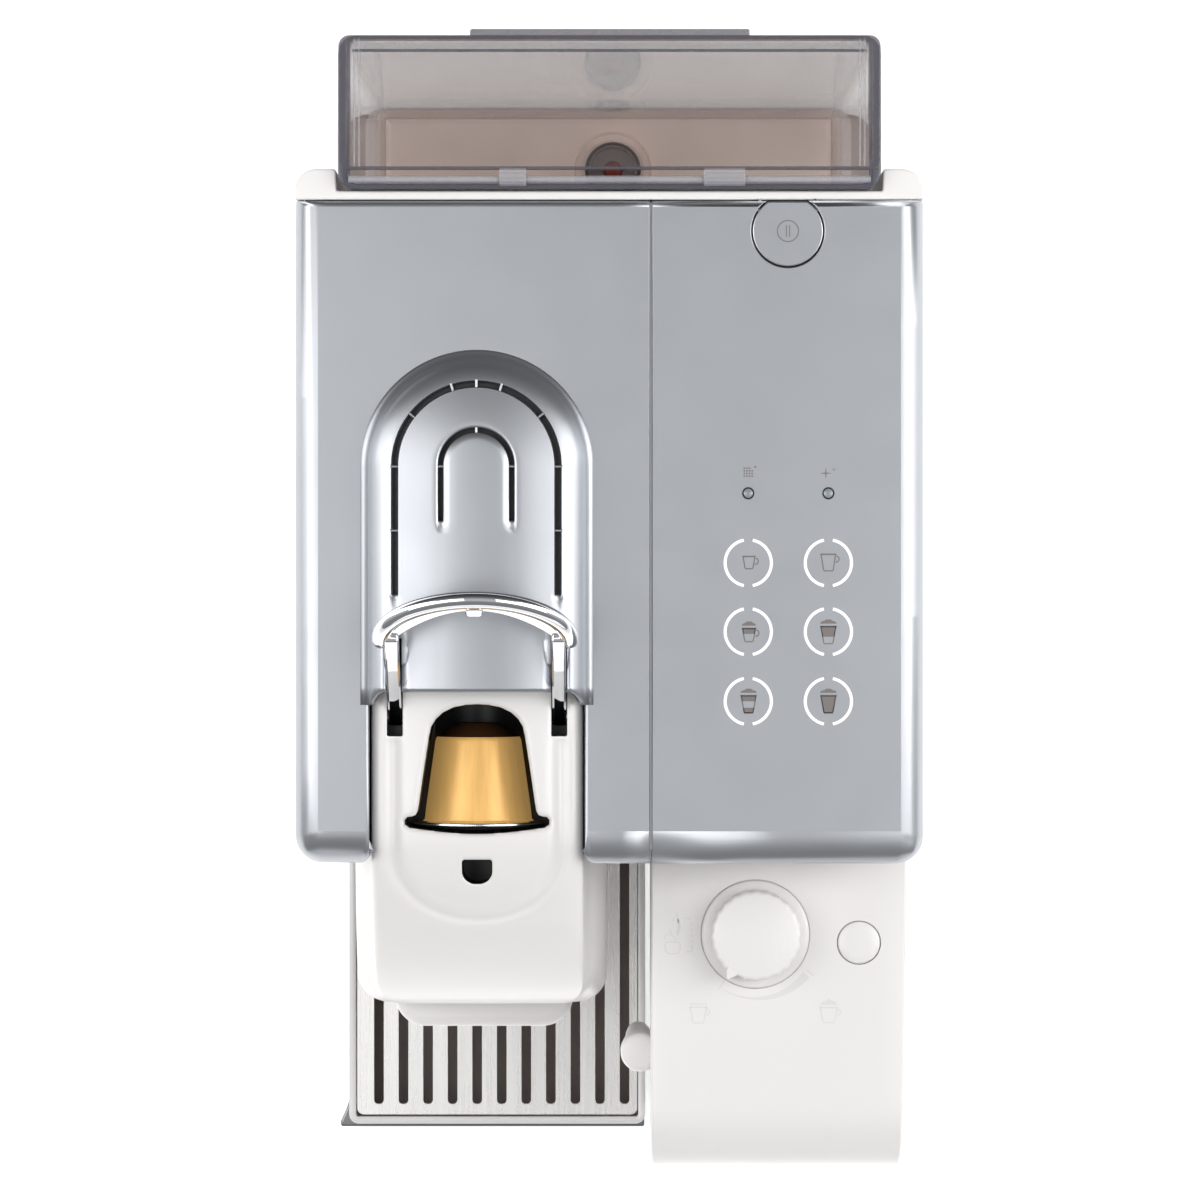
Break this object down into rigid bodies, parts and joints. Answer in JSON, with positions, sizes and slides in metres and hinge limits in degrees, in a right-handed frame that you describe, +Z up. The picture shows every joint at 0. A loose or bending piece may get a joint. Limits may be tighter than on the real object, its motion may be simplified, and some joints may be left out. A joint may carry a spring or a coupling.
{
  "type": "pod coffee machine",
  "caption": "Countertop capsule coffee machine with a loop lever over the capsule slot, a rear water tank, a pull-out drip tray and a clip-on milk jug with a froth knob.",
  "frame": {"origin": "on the worktop, at the centre of the bounding box's underside", "axes": "+X to the right as seen from the front, +Y towards the water tank at the back, +Z up"},
  "size_m": [0.173, 0.3226, 0.2881],
  "materials": {
    "silver": "fine satin silver lacquer",
    "white": "smooth white moulding",
    "black": "fine matt",
    "chrome": "mirror polish",
    "steel": "bright brushed",
    "dark_metal": "satin cast",
    "gold": "brushed gold anodised",
    "rubber": "matt",
    "smoky_clear": "smoky transparent plastic",
    "frosted_clear": "clear plastic, light frost",
    "board": "solder mask",
    "grey_plastic": "smooth"
  },
  "bodies": {
    "machine": {"base_plate": "black", "brew_frame": "black", "capsule_slot_liner": "black", "clean_lens": "grey_plastic", "coffee_outlet": "white", "connector_door": "grey_plastic", "control_panel": "silver", "descale_lens": "grey_plastic", "foot_front_left": "rubber", "foot_front_right": "rubber", "foot_rear_left": "rubber", "foot_rear_right": "rubber", "front_wall": "white", "head_shell": "white", "left_side_cover": "white", "lever_pin_left": "steel", "lever_pin_right": "steel", "power_board": "board", "power_inlet": "black", "pump_hose": "frosted_clear", "pump_mount": "rubber", "rear_wall": "white", "right_side_cover": "white", "steam_nozzle": "dark_metal", "tank_shelf": "white", "thermoblock": "dark_metal", "top_cover": "silver", "touch_board": "board", "vent_insert": "black", "water_pump": "dark_metal"},
    "lever": {"lever": "chrome"},
    "brew_cage": {"brew_cage": "steel"},
    "capsule": {"capsule": "gold"},
    "power_button": {"power_button": "silver"},
    "tank": {"water_tank": "smoky_clear", "tank_hinge_rod": "smoky_clear"},
    "tank_lid": {"tank_lid": "smoky_clear"},
    "tank_valve": {"tank_valve": "black"},
    "milk_jug": {"milk_lid": "white", "milk_tube": "grey_plastic", "milk_connector": "black"},
    "milk_container": {"milk_container": "frosted_clear"},
    "froth_knob": {"froth_knob": "white"},
    "clean_button": {"clean_button": "white"},
    "milk_spout": {"milk_spout": "white"},
    "release_button_left": {"release_button_left": "white"},
    "release_button_right": {"release_button_right": "white"},
    "drip_tray": {"drip_tray": "white", "tray_trim": "dark_metal"},
    "drip_grid": {"drip_grid": "steel"},
    "capsule_bin": {"used_capsule_bin": "black", "cup_shelf_pin": "steel"},
    "cup_shelf": {"cup_shelf": "grey_plastic"}
  },
  "joints": [
    {"name": "lever_swing", "type": "hinge", "parent": "machine", "child": "lever", "pos_m": [-0.0364, -0.0275, 0.24], "axis": [1, 0, 0], "range_deg": [0, 120]},
    {"name": "cage_advance", "type": "slide", "parent": "machine", "child": "brew_cage", "axis": [0, -1, 0], "range_m": [0, 0.0145]},
    {"name": "capsule_lift", "type": "slide", "parent": "machine", "child": "capsule", "axis": [0, 0, 1], "range_m": [0, 0.045]},
    {"name": "power_press", "type": "slide", "parent": "machine", "child": "power_button", "axis": [0, 0, -1], "range_m": [0, 0.001], "stiffness_N_per_m": 800, "springref_m": -0.0008},
    {"name": "tank_lift", "type": "slide", "parent": "machine", "child": "tank", "axis": [0, 0, 1], "range_m": [0, 0.235]},
    {"name": "tank_lid_hinge", "type": "hinge", "parent": "tank", "child": "tank_lid", "pos_m": [0, 0.1197, 0.2525], "axis": [1, 0, 0], "range_deg": [0, 95]},
    {"name": "tank_valve_press", "type": "slide", "parent": "tank", "child": "tank_valve", "axis": [0, 0, 1], "range_m": [0, 0.003], "stiffness_N_per_m": 300, "springref_m": -0.002},
    {"name": "jug_pull", "type": "slide", "parent": "machine", "child": "milk_jug", "axis": [0, -1, 0], "range_m": [0, 0.12]},
    {"name": "container_drop", "type": "slide", "parent": "milk_jug", "child": "milk_container", "axis": [0, 0, -1], "range_m": [0, 0.01]},
    {"name": "froth_turn", "type": "hinge", "parent": "milk_jug", "child": "froth_knob", "pos_m": [0.0412, -0.0897, 0.205], "axis": [0, 0, 1], "range_deg": [0, 110]},
    {"name": "clean_press", "type": "slide", "parent": "milk_jug", "child": "clean_button", "axis": [0, 0, -1], "range_m": [0, 0.002], "stiffness_N_per_m": 400, "springref_m": -0.001},
    {"name": "spout_swing", "type": "hinge", "parent": "milk_jug", "child": "milk_spout", "pos_m": [0.0118, -0.125, 0.176], "axis": [1, 0, 0], "range_deg": [-75, 0]},
    {"name": "release_left_press", "type": "slide", "parent": "milk_jug", "child": "release_button_left", "axis": [1, 0, 0], "range_m": [0, 0.0015], "stiffness_N_per_m": 400, "springref_m": -0.001},
    {"name": "release_right_press", "type": "slide", "parent": "milk_jug", "child": "release_button_right", "axis": [-1, 0, 0], "range_m": [0, 0.0015], "stiffness_N_per_m": 400, "springref_m": -0.001},
    {"name": "tray_pull", "type": "slide", "parent": "machine", "child": "drip_tray", "axis": [0, -1, 0], "range_m": [0, 0.12]},
    {"name": "grid_lift", "type": "slide", "parent": "drip_tray", "child": "drip_grid", "axis": [0, 0, 1], "range_m": [0, 0.03]},
    {"name": "bin_lift", "type": "slide", "parent": "drip_tray", "child": "capsule_bin", "axis": [0, 0, 1], "range_m": [0, 0.012]},
    {"name": "cup_shelf_fold", "type": "hinge", "parent": "capsule_bin", "child": "cup_shelf", "pos_m": [-0.0344, -0.0658, 0.098], "axis": [1, 0, 0], "range_deg": [-90, 0]}
  ],
  "couplings": [
    {"joint": "cage_advance", "follows": "lever_swing", "m_per_rad": 0.0069}
  ]
}
